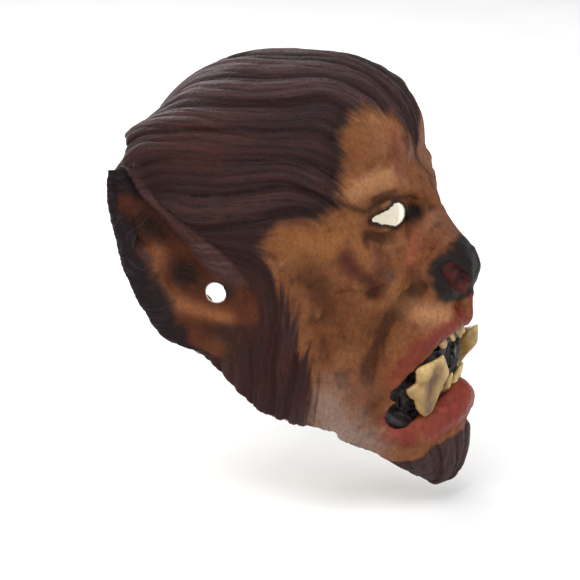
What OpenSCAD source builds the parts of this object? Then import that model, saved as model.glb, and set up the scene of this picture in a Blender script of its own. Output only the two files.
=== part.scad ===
/*
   Latex werewolf mask, open at the back, worn over the face and the crown of the head.
   The origin is the middle of the wearer's head, level with the ear holes. The face looks
   along -Y, +X is the wearer's left and +Z is up. All sizes are in millimetres.
*/

/* [Head form] */
// Width across the hair, without the ears
head_w = 188; // [180:1:196]
// Depth from the nose tip to the back edge of the ears
head_d = 218; // [210:1:226]
// Height from the tip of the chin tuft to the top of the hair
mask_h = 286; // [276:1:296]
// Thickness of the latex
wall = 4; // [3:0.5:5]

/* [Openings] */
// Radius of the round hole in each ear
ear_hole_r = 6.5; // [5:0.5:8]
// Radius of the round inner end of each eye hole
eye_hole_r = 8; // [7:0.5:9]

/* [Teeth] */
// Length of a lower fang
fang_len = 44; // [38:1:48]
// Radius of a lower fang at its root
fang_r = 10; // [8:0.5:11]
// Radius of an upper tooth at its root
tooth_r = 3.4; // [2.8:0.2:4]

/* [Strap] */
// Width of the elastic strap
strap_w = 20; // [16:1:24]
// Thickness of the elastic strap
strap_t = 1.5; // [1:0.1:2]
// How far the slack strap hangs below its rivets
strap_drop = 48; // [42:1:56]
// Radius of a rivet's post
post_r = 2; // [1.5:0.1:2.4]

/* [Hidden] */

hair_color = "#4a3230";
plum_color = "#2c2026";
tooth_color = "#cdb076";
patch_color = "#d8c8a0";
metal_color = "#b9b7b0";
elastic_color = "#1d1d1f";

// The forms below are written for a head of this width, depth and height.
reference_head = [188, 218, 286];
fit_scale = [head_w / reference_head.x, head_d / reference_head.y, mask_h / reference_head.z];

// Grid of the shell: places around the face axis and rings from the face to the rim.
around = 48;
rings = 27;
pole_angle = 2;
core_reach = 42;
search_start = 190;
search_step = 0.9;
search_count = 30;

// Rim of the shell: angle away from straight ahead, against the turn from the top of the head.
rim_turn = [[0, 138], [30, 135], [42, 130], [55, 127], [70, 125.5], [85, 127], [95, 125.5], [103, 120],
            [111, 110.5], [118, 100], [124, 91.5], [130, 73], [137, 58], [143, 55], [150, 51.5], [160, 47],
            [180, 46]];

// Each form is [centre, radii, softness], or [points, radii, softness] for a ridge.
// Only the wearer's left half is written, and the right half mirrors it.
head_forms = [
    [[0, 1, 46], [86, 91, 91], 1],           // crown
    [[57, 46, 58], [36, 54, 46], 22],        // hair that flares out to the ears
    [[0, -42, 93], [62, 49, 43], 20],        // forelock
    [[0, 26, -6], [81, 64, 74], 20],         // sides of the head
    [[0, -34, 4], [71, 66, 78], 18],         // cheeks
    [[57, 0, -46], [21, 48, 50], 20],        // sideburns
    [[0, -40, -76], [73, 64, 60], 18],       // jaw
    [[0, -78, -50], [50, 46, 58], 18],       // muzzle
    [[0, -92, -103], [44, 31, 33], 14],      // chin
    [[21, -62, 80], [31, 26, 30], 14],       // forehead
    [[19, -97, -20], [22, 21, 18], 9],       // pads of the upper lip
    [[[0, -102, -108], [0, -106, -122], [0, -107, -139]], [24, 19, 5], 10],                 // chin tuft
    [[[0, -90, 58], [0, -97, 43], [0, -107, 25], [0, -112, 8]], [13, 13, 14, 19], 12],     // nose bridge
    [[[0, -94, 55], [17, -90, 58], [38, -79, 65], [58, -60, 60]], [11, 11, 12, 9], 12],    // brow
    [[[24, -92, 8], [44, -78, 12], [61, -54, 20], [68, -30, 24]], [12, 13, 11, 8], 12]     // cheekbone
];
hollow_forms = [
    [[36, -103, 46], [26, 24, 15], 14],      // eye socket
    [[64, -72, -32], [18, 26, 30], 16]       // hollow of the cheek
];
face_forms = [
    [[37, -74, 46], [21, 16, 14], 9],        // lids
    [[0, -116, 4], [25, 19, 21], 5],         // nose pad
    [[17, -111, -2], [15, 15, 16], 5],       // wings of the nose
    [[[0, -124, -31], [20, -119, -33], [34, -106, -43], [41, -93, -60], [42, -88, -76]],
     [7, 7, 7, 7, 8], 5],                    // upper lip
    [[[42, -88, -76], [36, -97, -90], [20, -114, -93], [0, -122, -90]], [8, 10, 12, 12], 5]  // lower lip
];

// Edges of an ear from its lobe to its tip, and its cross-section from the front edge to the rear.
ear_front = [[75, 2, -44], [74, -12, -22], [76, -10, 0], [84, 6, 22], [90, 32, 45], [91, 58, 66],
             [97, 79, 81]];
ear_rear = [[77, 16, -46], [89, 38, -38], [97, 58, -16], [102, 70, 10], [103, 78, 40], [103, 82, 64],
            [100, 81, 81]];
ear_section = [[0, -3], [0.12, 7], [0.3, -5], [0.5, -9], [0.68, -6], [0.86, 3], [1, -2]];
ear_depth = [[0, 0.3], [0.3, 1], [0.6, 1], [1, 0.3]];
ear_steps_long = 14;
ear_steps_wide = 10;
ear_wall = 3.2;
ear_back = [[0, 3.2], [0.15, 10], [0.35, 8], [0.55, 6], [0.8, 3.2], [1, 3.2]];
ear_sink = [0.8, 2.8];
ear_search_start = 110;
ear_search_count = 24;

// Places on the head.
ear_hole = fit([0, 15, -2]);
eye_inner = fit([31, 0, 45]);
eye_outer = fit([46, 0, 46.5]);
eye_depth = [-120, -40];
mouth_points = [[0, -118, -49], [14, -112, -52], [27, -101, -61], [33, -92, -73]];
mouth_low = [[0, -120, -66], [18, -110, -72], [30, -96, -78]];
mouth_r = 12;
nostril = [fit([12, -136, -5]), fit([16, -131, -6])];
nostril_r = 6;
liner_reach = [46, 40];
liner_centre = [0, -104, -62];
liner_t = 2;
liner_sink = 0.8;
liner_pocket = 9;
roundness = 0.45;
fang_root = fit([33, -107, -92]);
fang_lean = [-0.07, -0.36, 0.93];
cusp_place = [5, 5, 8];
cusp_r = 3;

// Teeth stand in a row on each side of the middle, on an arc that falls back from the front.
tooth_spacing = 8;
teeth_per_side = 3;
arc_fall = 0.02;
upper_tooth_root = [0, -120, -37];
upper_tooth_len = 10;
lower_tooth_root = [0, -118, -77];
lower_tooth_len = 11;

// The rivets lie on one line along X, and the strap turns about it.
hinge_side = [78, 30, -16];
hinge_y = fit(hinge_side).y;
hinge_z = fit(hinge_side).z;
patch_reach = [10, 10];
patch_t = 2;
patch_sink = 0.5;
rivet_head_r = 5;
rivet_head_t = 1;
cap_r = 4.5;
cap_t = 1.2;
running_gap = 0.05;
side_gap = 0.4;
flange_r = 4.2;
flange_t = 0.5;
tube_wall = 0.7;
bore_r = post_r + running_gap;
tube_r = bore_r + tube_wall;
spacer = 4.8;
strap_straight = 8;
strap_steps = 36;

function fit(p) = [p.x * fit_scale.x, p.y * fit_scale.y, p.z * fit_scale.z];
function mix(a, b, t) = a + (b - a) * t;
function clamp01(t) = min(max(t, 0), 1);

// Smallest of two distances, rounded where they are within k of each other.
function soft_min(a, b, k) =
    let (h = clamp01(0.5 + 0.5 * (b - a) / k))
    mix(b, a, h) - k * h * (1 - h);

function ellipsoid_distance(p, centre, radii) =
    let (q = p - centre,
         a = [q.x / radii.x, q.y / radii.y, q.z / radii.z],
         k0 = norm(a),
         k1 = norm([a.x / radii.x, a.y / radii.y, a.z / radii.z]))
    k0 * (k0 - 1) / max(k1, 0.000001);

function ridge_distance(p, points, radii) =
    min([for (i = [0:len(points) - 2])
        let (a = points[i],
             b = points[i + 1],
             t = clamp01(((p - a) * (b - a)) / ((b - a) * (b - a))))
        norm(p - mix(a, b, t)) - mix(radii[i], radii[i + 1], t)]);

function form_distance(p, form) =
    is_list(form[0][0]) ? ridge_distance(p, form[0], form[1]) : ellipsoid_distance(p, form[0], form[1]);

function add_forms(p, forms, d, i = 0) =
    i == len(forms) ? d : add_forms(p, forms, soft_min(d, form_distance(p, forms[i]), forms[i][2]), i + 1);

function cut_forms(p, forms, d, i = 0) =
    i == len(forms) ? d : cut_forms(p, forms, -soft_min(-d, form_distance(p, forms[i]), forms[i][2]), i + 1);

// Distance from a point to the sculpted head, below zero inside it.
function head_distance(p) =
    let (q = [abs(p.x), p.y, p.z],
         skull = add_forms(q, head_forms, 1000),
         hollowed = cut_forms(q, hollow_forms, skull))
    add_forms(q, face_forms, hollowed);

// Directions fan out from a short upright core, so that a high one starts high and a low one low.
function core_point(direction) = [0, 0, core_reach * direction.z];

// Walks in along a direction from outside until it meets the sculpted head.
function surface_reach(direction, r = search_start, count = search_count) =
    let (p = core_point(direction) + direction * r)
    count == 0 ? r : surface_reach(direction, r - search_step * head_distance(p), count - 1);

function surface_point(direction, inset) =
    fit(core_point(direction) + direction * (surface_reach(direction) - inset));

// Direction from the core that passes close to a point.
function direction_to(p, count = 8, up = 0) =
    let (q = p - [0, 0, core_reach * up])
    count == 0 ? q / norm(q) : direction_to(p, count - 1, q.z / norm(q));

// Direction at an angle away from straight ahead and a turn from the top of the head.
function head_direction(angle, turn) = [sin(angle) * sin(turn), -cos(angle), sin(angle) * cos(turn)];

// Closed solid between two grids of points. Rows that close on themselves have wrap set.
module sheet_solid(outer, inner, wrap) {
    rows = len(outer);
    cols = len(outer[0]);
    last_col = wrap ? cols - 1 : cols - 2;
    back = rows * cols;
    points = concat([for (row = outer) each row], [for (row = inner) each row]);
    function at(i, j) = i * cols + j % cols;
    function quad(a, b, c, d) = [[a, b, c], [a, c, d]];
    function wall_quad(a, b) = quad(a, b, back + b, back + a);
    pole_faces = [[for (j = [0:cols - 1]) j], [for (j = [0:cols - 1]) back + cols - 1 - j]];
    open_faces = concat(
        [for (j = [0:last_col]) each wall_quad(at(0, j), at(0, j + 1))],
        [for (i = [0:rows - 2]) each wall_quad(at(i + 1, 0), at(i, 0))],
        [for (i = [0:rows - 2]) each wall_quad(at(i, cols - 1), at(i + 1, cols - 1))]);
    faces = concat(
        [for (i = [0:rows - 2], j = [0:last_col])
            each quad(at(i, j), at(i + 1, j), at(i + 1, j + 1), at(i, j + 1))],
        [for (i = [0:rows - 2], j = [0:last_col])
            each quad(back + at(i, j), back + at(i, j + 1), back + at(i + 1, j + 1), back + at(i + 1, j))],
        [for (j = [0:last_col]) each wall_quad(at(rows - 1, j + 1), at(rows - 1, j))],
        wrap ? pole_faces : open_faces);
    polyhedron(points, faces, convexity = 10);
}

module both_sides() {
    children();
    mirror([1, 0, 0]) children();
}

module chain(points, r) {
    for (i = [0:len(points) - 2])
        hull() {
            translate(fit(points[i])) sphere(r, $fn = 20);
            translate(fit(points[i + 1])) sphere(r, $fn = 20);
        }
}

// Face, hair and crown in one skin. Only half the radii are worked out, and the other half mirrors them.
module head_skin() {
    half = around / 2;
    radii = [for (i = [0:rings]) [for (j = [0:half])
        let (turn = 180 * j / half,
             angle = mix(pole_angle, lookup(turn, rim_turn), i / rings))
        [angle, turn, surface_reach(head_direction(angle, turn))]]];
    function grid(inset) = [for (i = [0:rings]) [for (j = [0:around - 1])
        let (place = radii[i][j <= half ? j : around - j],
             direction = head_direction(place[0], j <= half ? place[1] : -place[1]))
        fit(core_point(direction) + direction * (place[2] - inset))]];
    sheet_solid(grid(0), grid(wall), true);
}

function spline_point(points, t) =
    let (n = len(points) - 1,
         i = min(floor(t * n), n - 1),
         f = t * n - i,
         a = points[max(i - 1, 0)],
         b = points[i],
         c = points[i + 1],
         d = points[min(i + 2, n)])
    0.5 * (2 * b + (c - a) * f + (2 * a - 5 * b + 4 * c - d) * f * f + (3 * b - a - 3 * c + d) * f * f * f);

// Walks in from the side until it meets the head. It goes past the middle where there is no head.
function side_of_head(y, z, x = ear_search_start, count = ear_search_count) =
    count == 0 ? x : side_of_head(y, z, x - search_step * head_distance([x, y, z]), count - 1);

// Sheet of the ear, kept out of the hollow of the head where it meets the wall.
module ear() {
    function grid(inset) = [for (i = [0:ear_steps_long]) [for (j = [0:ear_steps_wide])
        let (u = i / ear_steps_long,
             v = j / ear_steps_wide,
             edge = mix(spline_point(ear_front, u), spline_point(ear_rear, u), v),
             lift = lookup(v, ear_section) * lookup(u, ear_depth),
             thickness = mix(lookup(v, ear_back), ear_wall, u * u),
             deepest = side_of_head(edge.y, edge.z) - mix(ear_sink[0], ear_sink[1], inset))
        fit([max(edge.x + lift - inset * thickness, deepest), edge.y, edge.z])]];
    sheet_solid(grid(0), grid(1), false);
}

module eye_cut() {
    translate([0, eye_depth[0], 0]) rotate([-90, 0, 0]) linear_extrude(eye_depth[1] - eye_depth[0])
        hull() {
            translate([eye_inner.x, -eye_inner.z]) circle(eye_hole_r, $fn = 32);
            translate([eye_outer.x, -eye_outer.z]) circle(1, $fn = 16);
        }
}

module nostril_cut() {
    hull() {
        translate(nostril[0]) sphere(nostril_r, $fn = 20);
        translate(nostril[1]) sphere(nostril_r - 2, $fn = 20);
    }
}

module ear_hole_cut() {
    translate([head_w * 0.3, ear_hole.y, ear_hole.z])
        rotate([0, 90, 0]) cylinder(r = ear_hole_r, h = head_w / 2, $fn = 40);
}

module latex_shell() {
    color(hair_color)
        difference() {
            union() {
                head_skin();
                both_sides() ear();
            }
            both_sides() {
                eye_cut();
                nostril_cut();
                ear_hole_cut();
                chain(mouth_points, mouth_r);
                chain(mouth_low, mouth_r - 2);
            }
        }
}

// Sheet that follows the inside of the shell around a place, sunk a little into it at its edges.
module inner_patch(centre, reach, thickness, sink, pocket, steps) {
    function grid(inset) = [for (i = [0:steps]) [for (j = [0:steps])
        let (side = mix(-1, 1, j / steps),
             up = mix(-1, 1, i / steps),
             across = reach[0] * side * sqrt(1 - roundness * up * up),
             high = reach[1] * up * sqrt(1 - roundness * side * side),
             offset = abs(centre.x) > abs(centre.y) ? [0, sign(centre.x) * across, high] : [across, 0, high],
             p = centre + offset,
             deeper = pocket * (1 - side * side) * (1 - up * up))
        surface_point(direction_to(p), inset + deeper)]];
    sheet_solid(grid(wall - sink), grid(wall + thickness), false);
}

module mouth_liner() {
    color(plum_color) inner_patch(liner_centre, liner_reach, liner_t, liner_sink, liner_pocket, 12);
}

module tooth(root, tip, r) {
    hull() {
        translate(root) sphere(r, $fn = 20);
        translate(mix(root, tip, 0.55)) sphere(r * 0.72, $fn = 20);
        translate(tip) sphere(r * 0.22, $fn = 16);
    }
}

// One side's row of teeth, from the middle outwards.
module tooth_row(root, length, r) {
    both_sides()
        for (i = [0:teeth_per_side - 1]) {
            x = (i + 0.5) * tooth_spacing;
            place = fit([x, root.y + arc_fall * x * x, root.z - sign(length) * arc_fall * x * x / 2]);
            tooth(place, place + [0, 0, length], r);
        }
}

module upper_teeth() {
    color(tooth_color) tooth_row(upper_tooth_root, -upper_tooth_len, tooth_r);
}

module lower_teeth() {
    color(tooth_color) tooth_row(lower_tooth_root, lower_tooth_len, tooth_r * 0.9);
}

// Lower fang with a low second cusp on its outer side.
module fang() {
    tip = fang_root + fang_lean * fang_len;
    color(tooth_color) {
        tooth(fang_root, tip, fang_r);
        hull() {
            translate(fang_root) sphere(fang_r * 0.8, $fn = 20);
            translate(fang_root + [fang_r * 0.5, fang_r * 0.6, fang_len * 0.4]) sphere(cusp_r, $fn = 20);
        }
    }
}

module fang_left() {
    fang();
}

module fang_right() {
    mirror([1, 0, 0]) fang();
}

// Where the face of a strap patch stands on the hinge line.
function patch_face_x() = surface_point(direction_to(hinge_side), wall + patch_t).x;
function strap_face_x() = patch_face_x() - spacer;

module strap_patch(side) {
    centre = [side * hinge_side.x, hinge_side.y, hinge_side.z];
    color(patch_color) inner_patch(centre, patch_reach, patch_t, patch_sink, 0, 6);
}

module strap_patch_left() {
    strap_patch(1);
}

module strap_patch_right() {
    strap_patch(-1);
}

// Places its children on the hinge line at a distance from the middle, with +Z pointing outwards.
module on_hinge(x) {
    translate([x, hinge_y, hinge_z]) rotate([0, 90, 0]) children();
}

function band_in_x() = strap_face_x() - strap_t;
function post_end_x() = band_in_x() - flange_t - side_gap;

// Head buried in the patch, then a shoulder that holds the strap off it, then the post.
module rivet_left() {
    head_x = patch_face_x() + patch_t - rivet_head_t;
    shoulder_x = strap_face_x() + flange_t + side_gap;
    color(metal_color) {
        on_hinge(head_x) cylinder(r = rivet_head_r, h = rivet_head_t, $fn = 48);
        on_hinge(shoulder_x) cylinder(r = flange_r, h = head_x - shoulder_x, $fn = 48);
        on_hinge(post_end_x()) cylinder(r = post_r, h = head_x - post_end_x(), $fn = 48);
    }
}

module rivet_right() {
    mirror([1, 0, 0]) rivet_left();
}

module rivet_cap_left() {
    color(metal_color) on_hinge(post_end_x() - cap_t) cylinder(r = cap_r, h = cap_t, $fn = 48);
}

module rivet_cap_right() {
    mirror([1, 0, 0]) rivet_cap_left();
}

module eyelet_left() {
    color(metal_color)
        difference() {
            union() {
                on_hinge(band_in_x() - flange_t) cylinder(r = tube_r, h = strap_t + 2 * flange_t, $fn = 48);
                on_hinge(band_in_x() - flange_t) cylinder(r = flange_r, h = flange_t, $fn = 48);
                on_hinge(strap_face_x()) cylinder(r = flange_r, h = flange_t, $fn = 48);
            }
            on_hinge(band_in_x() - 2) cylinder(r = bore_r, h = strap_t + 4, $fn = 48);
        }
}

module eyelet_right() {
    mirror([1, 0, 0]) eyelet_left();
}

// The slack strap hangs as half an ellipse below two straight ends.
module strap_outline() {
    drop = strap_drop - strap_straight;
    outer = [for (k = [0:strap_steps])
        let (t = 180 + 180 * k / strap_steps)
        [strap_face_x() * cos(t), drop * sin(t) - strap_straight]];
    inner = [for (k = [0:strap_steps])
        let (t = -180 * k / strap_steps)
        [band_in_x() * cos(t), (drop - strap_t) * sin(t) - strap_straight]];
    end_z = strap_w / 2;
    polygon(concat([[-strap_face_x(), end_z]], outer, [[strap_face_x(), end_z], [band_in_x(), end_z]],
                   inner, [[-band_in_x(), end_z]]));
}

module elastic_strap() {
    color(elastic_color)
        difference() {
            intersection() {
                translate([0, hinge_y, hinge_z])
                    rotate([90, 0, 0]) linear_extrude(strap_w, center = true) strap_outline();
                union() {
                    on_hinge(-head_w) cylinder(r = strap_w / 2, h = 2 * head_w, $fn = 64);
                    translate([0, hinge_y, hinge_z - strap_drop])
                        cube([2 * head_w, strap_w, 2 * strap_drop], center = true);
                }
            }
            on_hinge(-head_w) cylinder(r = tube_r, h = 2 * head_w, $fn = 48);
        }
}

latex_shell();
mouth_liner();
upper_teeth();
lower_teeth();
fang_right();
fang_left();
strap_patch_right();
strap_patch_left();
rivet_right();
rivet_left();
rivet_cap_right();
rivet_cap_left();
eyelet_right();
eyelet_left();
elastic_strap();
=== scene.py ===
"""Looks of an open-backed latex werewolf mask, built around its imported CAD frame.

The sculpting is done in millimetres on signed distances, with the face towards -Y, and every
mesh is turned into metres when it is made. Only the left half (x > 0) is written: the sculpt
takes |x|, and noise that takes the true x makes the two halves differ a little.
"""
import math

import bpy
import numpy as np
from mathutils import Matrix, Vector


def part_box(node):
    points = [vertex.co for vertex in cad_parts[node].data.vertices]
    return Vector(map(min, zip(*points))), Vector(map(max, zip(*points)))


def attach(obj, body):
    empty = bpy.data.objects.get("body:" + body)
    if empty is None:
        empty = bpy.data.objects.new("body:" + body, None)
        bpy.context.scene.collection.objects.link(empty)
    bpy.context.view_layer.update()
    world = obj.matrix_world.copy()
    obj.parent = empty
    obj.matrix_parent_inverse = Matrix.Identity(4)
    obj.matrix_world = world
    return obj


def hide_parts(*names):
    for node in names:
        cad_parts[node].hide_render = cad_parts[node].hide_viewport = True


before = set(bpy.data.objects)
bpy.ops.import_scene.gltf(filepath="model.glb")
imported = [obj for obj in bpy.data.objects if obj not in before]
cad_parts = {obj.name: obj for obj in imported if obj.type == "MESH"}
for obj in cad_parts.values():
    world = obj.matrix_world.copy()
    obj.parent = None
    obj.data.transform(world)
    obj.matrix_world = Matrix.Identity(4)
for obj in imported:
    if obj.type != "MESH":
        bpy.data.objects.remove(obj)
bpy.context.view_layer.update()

import openvdb
from mathutils import Vector

MM = 0.001
SKIN_VOXEL = 1.15
TOOTH_VOXEL = 0.5
WALL = 3.0


# ------------ Distances and curves ------------

def folded(q):
    """Places with those of the right half mirrored over to the left."""
    return np.column_stack([np.abs(q[:, 0]), q[:, 1], q[:, 2]])


def soft_min(a, b, k):
    """Smaller of two distances, rounded where they are within k of each other."""
    h = np.clip(0.5 + 0.5 * (b - a) / k, 0, 1)
    return b + (a - b) * h - k * h * (1 - h)


def soft_max(a, b, k):
    return -soft_min(-a, -b, k)


def smooth(x, low, high):
    """0 below low, 1 above high, and an S-curve between."""
    t = np.clip((x - low) / (high - low), 0, 1)
    return t * t * (3 - 2 * t)


def mix(a, b, t):
    return a + (b - a) * t


def spline(points, steps=5):
    """Smooth curve through a few points; each point may carry a radius as a last value."""
    p = np.array(points, float)
    p = np.vstack([2 * p[0] - p[1], p, 2 * p[-1] - p[-2]])
    out = []
    for i in range(1, len(p) - 2):
        a, b, c, d = p[i - 1:i + 3]
        for t in np.arange(steps) / steps:
            out.append(0.5 * (2 * b + (c - a) * t + (2 * a - 5 * b + 4 * c - d) * t ** 2
                              + (3 * b - a - 3 * c + d) * t ** 3))
    out.append(p[-2])
    return np.array(out)


def ellipsoid(p, centre, radii):
    q = p - np.array(centre, float)
    r = np.array(radii, float)
    k0 = np.linalg.norm(q / r, axis=1)
    k1 = np.linalg.norm(q / (r * r), axis=1) + 1e-9
    return k0 * (k0 - 1) / k1


def nearest_on_path(p, path):
    """Distance to a polyline, and the share of its length where the nearest point lies."""
    best = np.full(len(p), 1e9)
    share = np.zeros(len(p))
    lengths = np.linalg.norm(np.diff(path, axis=0), axis=1)
    reach = np.concatenate([[0], np.cumsum(lengths)]) / lengths.sum()
    for i in range(len(path) - 1):
        a, b = path[i], path[i + 1]
        ab = b - a
        h = np.clip(((p - a) @ ab) / (ab @ ab), 0, 1)
        d = np.linalg.norm(p - a - h[:, None] * ab, axis=1)
        closer = d < best
        best = np.where(closer, d, best)
        share = np.where(closer, mix(reach[i], reach[i + 1], h), share)
    return best, share


def near_to(p, points, reach):
    """Numbers of the places in the box round a few points, widened by the reach."""
    points = np.array(points, float)
    inside = (p > points.min(0) - reach) & (p < points.max(0) + reach)
    return np.where(np.all(inside, axis=1))[0]


def tube(p, path):
    """Distance to a polyline with a radius as the last value of each of its points."""
    best = np.full(len(p), 1e9)
    for a, b in zip(path[:-1], path[1:]):
        ab = (b - a)[:-1]
        h = np.clip(((p - a[:-1]) @ ab) / (ab @ ab), 0, 1)
        d = np.linalg.norm(p - a[:-1] - h[:, None] * ab, axis=1) - mix(a[-1], b[-1], h)
        best = np.minimum(best, d)
    return best


def ridge(p, points, radii, steps=5):
    """Distance to a smooth tube whose radius changes along it."""
    return tube(p, spline([list(q) + [r] for q, r in zip(points, radii)], steps))


def table(x, xs, ys):
    """Smooth curve through a short table."""
    xs, ys = np.array(xs, float), np.array(ys, float)
    slopes = np.gradient(ys, xs)
    i = np.clip(np.searchsorted(xs, x) - 1, 0, len(xs) - 2)
    width = xs[i + 1] - xs[i]
    t = np.clip((x - xs[i]) / width, 0, 1)
    return ((2 * t ** 3 - 3 * t ** 2 + 1) * ys[i] + (t ** 3 - 2 * t ** 2 + t) * width * slopes[i]
            + (3 * t ** 2 - 2 * t ** 3) * ys[i + 1] + (t ** 3 - t ** 2) * width * slopes[i + 1])


def outline_distance(u, v, points):
    """Signed distance to a closed outline in a plane, below zero inside."""
    best = np.full(len(u), 1e9)
    sign = np.ones(len(u))
    for (au, av), (bu, bv) in zip(points, points[1:] + points[:1]):
        eu, ev = bu - au, bv - av
        wu, wv = u - au, v - av
        h = np.clip((wu * eu + wv * ev) / (eu * eu + ev * ev), 0, 1)
        best = np.minimum(best, (wu - eu * h) ** 2 + (wv - ev * h) ** 2)
        above, below, left = v >= av, v < bv, eu * wv > ev * wu
        sign = np.where((above & below & left) | (~above & ~below & ~left), -sign, sign)
    return sign * np.sqrt(best)


def lattice(ix, iy, iz, seed):
    """Repeatable value from -1 to 1 for each whole-number place."""
    h = (ix * 374761393 + iy * 668265263 + iz * 2147483647 + seed * 1274126177) & 0xFFFFFFFF
    h = ((h ^ (h >> 13)) * 1103515245) & 0xFFFFFFFF
    h = ((h ^ (h >> 16)) * 2246822519) & 0xFFFFFFFF
    return ((h ^ (h >> 15)) & 0xFFFF) / 32767.5 - 1


def noise(u, v, w, seed=0):
    """Smooth noise from about -1 to 1 with features one unit across."""
    iu, iv, iw = np.floor(u), np.floor(v), np.floor(w)
    fu, fv, fw = u - iu, v - iv, w - iw
    iu, iv, iw = iu.astype(np.int64), iv.astype(np.int64), iw.astype(np.int64)
    fu, fv, fw = (f * f * (3 - 2 * f) for f in (fu, fv, fw))
    total = 0
    for du in (0, 1):
        for dv in (0, 1):
            for dw in (0, 1):
                weight = (fu if du else 1 - fu) * (fv if dv else 1 - fv) * (fw if dw else 1 - fw)
                total = total + weight * lattice(iu + du, iv + dv, iw + dw, seed)
    return total


def streaks(across, along, width, length, seed):
    """Noise over a flat place, stretched along it."""
    return noise(across / width, along / length, across * 0, seed)


def noise_at(p, size, seed=0, octaves=1):
    """Noise over space, with features of the given size."""
    total = 0
    for k in range(octaves):
        q = p * (2 ** k / size)
        total = total + noise(q[:, 0], q[:, 1], q[:, 2], seed + 17 * k) / 2 ** k
    return total


# ------------ The sculpted head ------------

HEAD = [  # centre, radii, softness
    ((0, 1, 46), (86, 91, 91), 1),  # crown
    ((57, 46, 58), (36, 54, 46), 22),  # hair that flares out to the ears
    ((0, -42, 93), (58, 49, 43), 20),  # forelock
    ((0, 26, -6), (81, 64, 74), 20),  # sides of the head
    ((0, -34, 4), (71, 66, 78), 18),  # cheeks
    ((57, 0, -46), (21, 48, 50), 20),  # sideburns
    ((0, -40, -76), (73, 64, 60), 18),  # jaw
    ((0, -78, -50), (50, 46, 58), 18),  # muzzle
    ((0, -92, -103), (44, 31, 33), 14),  # chin
    ((21, -62, 80), (31, 26, 30), 14),  # forehead
    ((17, -100, -20), (22, 23, 16), 9),  # pads of the upper lip
]
BONES = [  # points, radii, softness
    (((0, -103, -103), (0, -107, -121), (0, -107, -139)), (25, 19, 4), 9),  # chin tuft
    (((0, -90, 58), (0, -97, 43), (0, -107, 25), (0, -112, 8)), (13, 13, 14, 19), 12),  # nose bridge
    (((0, -95, 55), (17, -91, 58), (38, -78, 64), (58, -60, 60)), (10, 10, 9.5, 9), 9),  # brow
    (((24, -92, 8), (44, -78, 12), (61, -54, 20), (68, -30, 24)), (12, 13, 11, 8), 12),  # cheekbone
]
RIM = [  # z and y of the cut edge
    (-150, -113), (-137, -104), (-120, -90), (-110, -76), (-105, -68), (-98, -61), (-91, -54),
    (-88.5, -42), (-86.5, -26), (-83, -16), (-68, 2), (-52, 18), (-40, 30), (-17, 49), (10, 57),
    (45, 67), (70, 74), (89, 78), (104, 80), (150, 120)]
UPPER_LIP = ((0, -124, -28), (19, -119, -30), (32, -109, -38), (42, -96, -53), (45, -86, -68), (45, -83, -80))
UPPER_LIP_R = (6.5, 6, 5.5, 5, 4.5, 4.5)
LOWER_LIP = ((45, -83, -80), (43, -88, -93), (32, -103, -96), (14, -117, -88), (0, -121, -81))
LOWER_LIP_R = (4.5, 7.5, 10.5, 12, 12)
# z, y and x of the ear's two long edges
EAR_FRONT = [(-44, 2, 75), (-22, -12, 74), (0, -10, 76), (22, 6, 84), (45, 32, 90), (66, 58, 91),
             (82, 69, 95)]
EAR_REAR = [(-46, 16, 77), (-38, 38, 89), (-16, 58, 97), (10, 70, 102), (40, 78, 103), (64, 82, 103),
            (82, 81, 100)]
# Share of the way across the ear, and how far its surface is lifted there or how thick it is.
EAR_SECTION = [(0, -3), (0.1, 6), (0.22, 2), (0.36, -7), (0.52, -9), (0.66, -5), (0.8, 3), (0.9, 3), (1, 0)]
EAR_BACK = [(0, 3), (0.12, 10), (0.35, 8), (0.55, 6), (0.8, 4.4), (1, 4.2)]
EAR_EDGE_THICKNESS = 4.2
EAR_FOOT_Z = -46
EAR_TIP_Z = 79
EAR_START_X = 80  # the back edge is not cut through the ear beyond this
NOSTRIL = ((22, -123.5, 8), (16, -130, -1), (9.5, -134, -9))
NOSTRIL_R = (5.5, 7, 5.5)
EAR_HOLE = (15, -2)  # y and z
EAR_HOLE_R = 6.5
EAR_HOLE_START_X = 55
EYE_HOLE = np.array([(-2, 46.2, 0.8), (-13.5, 46, 4.3), (-22.5, 45.7, 7.4)])  # across, height, radius
EYE_TURN = (0.83, 0.55)  # shares of x and y that count as across the eye
EYE_HOLE_END_Y = -45
EYE_MIDDLE = (38, -84, 46)
EYE_THINNING = 1.5
EYE_THIN_REACH = 16


def head_form(p):
    """Head without its ears, nose pad or lips, on |x|."""
    f = ellipsoid(p, *HEAD[0][:2])
    for centre, radii, k in HEAD[1:]:
        f = soft_min(f, ellipsoid(p, centre, radii), k)
    for points, radii, k in BONES:
        f = soft_min(f, ridge(p, points, radii), k)
    f = soft_max(f, -ellipsoid(p, (36, -100, 46), (25, 23, 13)), 9)  # eye socket
    f = soft_min(f, ridge(p, ((25, -80, 46), (37, -75, 46), (47, -68, 46)), (14.5, 14, 12)), 6)  # lids
    return soft_max(f, -ellipsoid(p, (66, -76, -30), (18, 26, 28)), 14)  # hollow of the cheek


def ear_frame(p):
    """Share of the way across the ear from its front edge, distance in from its edges, and surface x."""
    z = p[:, 2]
    front, rear = np.array(EAR_FRONT, float), np.array(EAR_REAR, float)
    front_y, front_x = (table(z, front[:, 0], front[:, k]) for k in (1, 2))
    rear_y, rear_x = (table(z, rear[:, 0], rear[:, k]) for k in (1, 2))
    width = np.maximum(rear_y - front_y, 3)
    v = (p[:, 1] - front_y) / width
    inside = np.minimum(np.minimum(v, 1 - v) * width, np.minimum(z - EAR_FOOT_Z, EAR_TIP_Z - z))
    depth = smooth(z, -48, -20) * (1 - 0.75 * smooth(z, 45, 84))
    lift = np.interp(v, *np.array(EAR_SECTION).T) * depth
    return v, inside, mix(front_x, rear_x, np.clip(v, 0, 1)) + lift


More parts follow.
